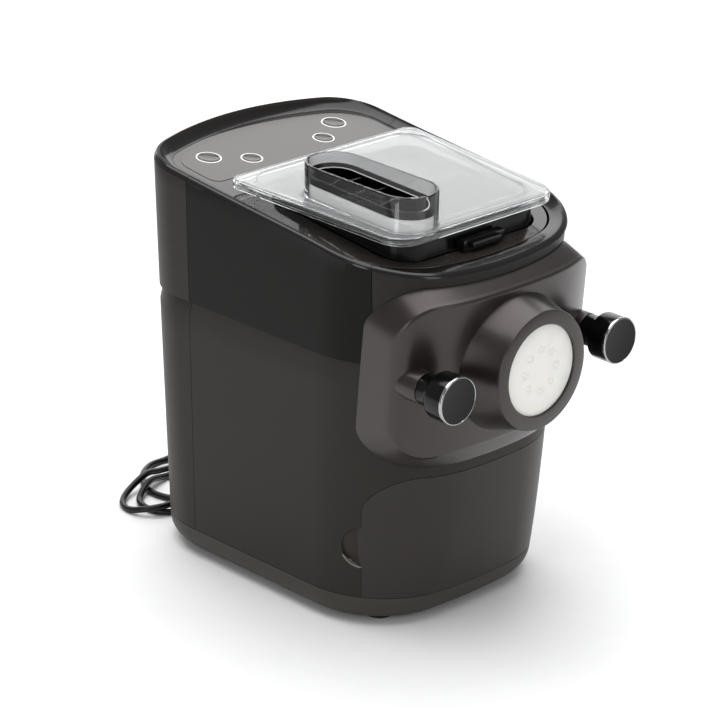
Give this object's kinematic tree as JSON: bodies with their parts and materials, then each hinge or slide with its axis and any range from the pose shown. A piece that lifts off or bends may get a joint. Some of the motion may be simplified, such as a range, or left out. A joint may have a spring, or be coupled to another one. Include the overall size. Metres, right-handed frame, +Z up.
{
  "type": "electric pasta maker",
  "caption": "Electric pasta maker with a kneading chamber under a clear lid, a disc ring with two clamping knobs, touch deck buttons and a drawer for discs.",
  "frame": {"origin": "centre of the machine's footprint on the surface it stands on, without the cord", "axes": "+Z up, -Y towards the disc ring and the user, +X to the right seen from the front"},
  "size_m": [0.2822, 0.3955, 0.3177],
  "materials": {
    "dark_plastic": "satin",
    "grey_plastic": "satin",
    "bronze_plastic": "satin metallic",
    "deck_plastic": "glossy metallic",
    "black_plastic": "glossy",
    "white_plastic": "smooth",
    "clear_plastic": "clear glossy",
    "rubber": "matte",
    "steel": "satin",
    "aluminium": "cast",
    "chrome": "polished",
    "brass": "turned",
    "gear_plastic": "smooth",
    "board": "solder mask",
    "painted_steel": "satin"
  },
  "bodies": {
    "machine": {"base_tray": "grey_plastic", "rubber_feet": "rubber", "load_cells": "aluminium", "lower_housing": "grey_plastic", "rear_cover": "dark_plastic", "upper_cover_left": "dark_plastic", "upper_cover_right": "dark_plastic", "front_fascia": "dark_plastic", "deck": "deck_plastic", "control_panel": "deck_plastic", "light_rings": "white_plastic", "control_board": "board", "power_board": "board", "inner_frame": "painted_steel", "mixing_chamber": "black_plastic", "chamber_latch": "black_plastic", "extrusion_tube": "aluminium", "tie_rods": "steel", "shaft_bearings": "steel", "shaft_seal": "rubber", "gearbox_case": "aluminium", "motor_housing": "steel", "lid_switch": "black_plastic", "drawer_runners": "grey_plastic", "housing_screws": "steel", "cord_gland": "rubber", "cord": "rubber", "cord_coil": "rubber", "plug_body": "rubber", "plug_pins": "brass"},
    "panel": {"front_panel": "bronze_plastic", "shaping_disc": "white_plastic"},
    "left_knob": {"knob_left": "black_plastic", "knob_ring_left": "chrome", "knob_insert_left": "brass"},
    "right_knob": {"knob_right": "black_plastic", "knob_ring_right": "chrome", "knob_insert_right": "brass"},
    "drawer": {"drawer_front": "grey_plastic", "drawer_tray": "grey_plastic"},
    "lid_body": {"lid": "clear_plastic", "lid_insert": "black_plastic"},
    "agitator": {"mixing_paddle": "white_plastic", "extrusion_screw": "white_plastic", "drive_shaft": "steel", "output_gear": "gear_plastic"},
    "layshaft_body": {"layshaft": "gear_plastic"},
    "rotor": {"motor_rotor": "steel", "cooling_fan": "black_plastic"},
    "power_button": {"button_power": "deck_plastic"},
    "program_button": {"button_program": "deck_plastic"},
    "weigh_button": {"button_weigh": "deck_plastic"},
    "start_button": {"button_start": "deck_plastic"}
  },
  "joints": [
    {"name": "panel_pull", "type": "slide", "parent": "machine", "child": "panel", "axis": [0, -1, 0], "range_m": [0, 0.06]},
    {"name": "knob_left_turn", "type": "hinge", "parent": "panel", "child": "left_knob", "pos_m": [-0.0816, -0.14, 0.197], "axis": [0, -1, 0], "continuous": true},
    {"name": "knob_right_turn", "type": "hinge", "parent": "panel", "child": "right_knob", "pos_m": [0.0816, -0.14, 0.197], "axis": [0, -1, 0], "continuous": true},
    {"name": "drawer_slide", "type": "slide", "parent": "machine", "child": "drawer", "axis": [0, -1, 0], "range_m": [0, 0.1]},
    {"name": "lid_lift", "type": "slide", "parent": "machine", "child": "lid_body", "axis": [0, 0, 1], "range_m": [0, 0.06]},
    {"name": "agitator_spin", "type": "hinge", "parent": "machine", "child": "agitator", "pos_m": [0, 0.05, 0.197], "axis": [0, 1, 0], "continuous": true},
    {"name": "layshaft_spin", "type": "hinge", "parent": "machine", "child": "layshaft_body", "pos_m": [0, 0.07, 0.1445], "axis": [0, 1, 0], "continuous": true},
    {"name": "motor_spin", "type": "hinge", "parent": "machine", "child": "rotor", "pos_m": [0, 0.1, 0.0995], "axis": [0, 1, 0], "continuous": true},
    {"name": "power_press", "type": "slide", "parent": "machine", "child": "power_button", "axis": [0, 0.1167, -0.9932], "range_m": [0, 0.0008], "stiffness_N_per_m": 900},
    {"name": "program_press", "type": "slide", "parent": "machine", "child": "program_button", "axis": [0, 0.1167, -0.9932], "range_m": [0, 0.0008], "stiffness_N_per_m": 900},
    {"name": "weigh_press", "type": "slide", "parent": "machine", "child": "weigh_button", "axis": [0, 0.1167, -0.9932], "range_m": [0, 0.0008], "stiffness_N_per_m": 900},
    {"name": "start_press", "type": "slide", "parent": "machine", "child": "start_button", "axis": [0, 0.1167, -0.9932], "range_m": [0, 0.0008], "stiffness_N_per_m": 900}
  ],
  "couplings": [
    {"joint": "layshaft_spin", "follows": "agitator_spin", "ratio": -4},
    {"joint": "motor_spin", "follows": "agitator_spin", "ratio": 20}
  ]
}
